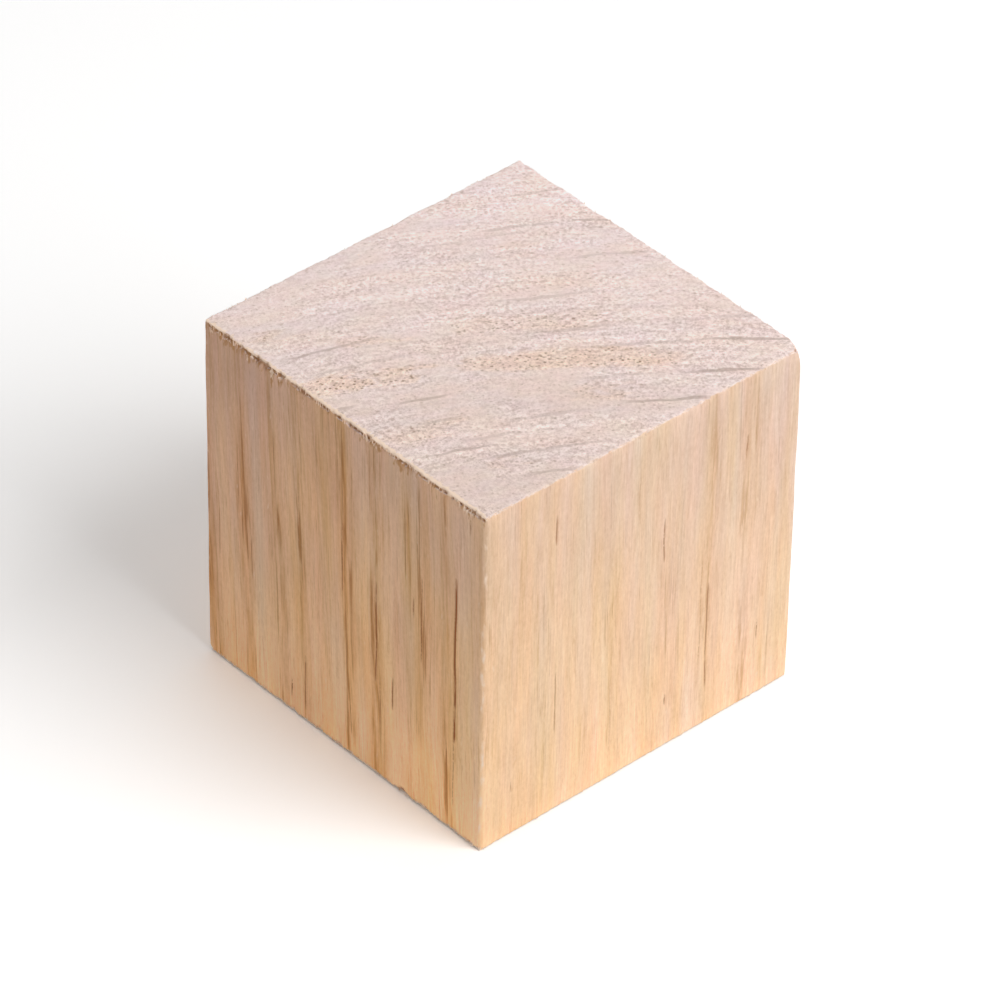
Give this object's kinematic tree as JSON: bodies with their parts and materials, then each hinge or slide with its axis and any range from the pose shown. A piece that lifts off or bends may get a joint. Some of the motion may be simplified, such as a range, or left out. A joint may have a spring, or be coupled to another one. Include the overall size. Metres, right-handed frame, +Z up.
{
  "type": "wooden cube",
  "caption": "Solid raw softwood cube for craft and bench use, with end grain on top and base, lightly eased edges and saw tear-out.",
  "frame": {"origin": "middle of the base, on the surface that the cube stands on", "axes": "+Z up along the grain, -Y towards the front face, -X towards the face with the torn fibres"},
  "size_m": [0.05, 0.05, 0.05],
  "materials": {
    "raw_pine": "raw sawn and planed softwood, unsealed"
  },
  "bodies": {
    "root": {"wood_cube": "raw_pine"}
  },
  "joints": []
}
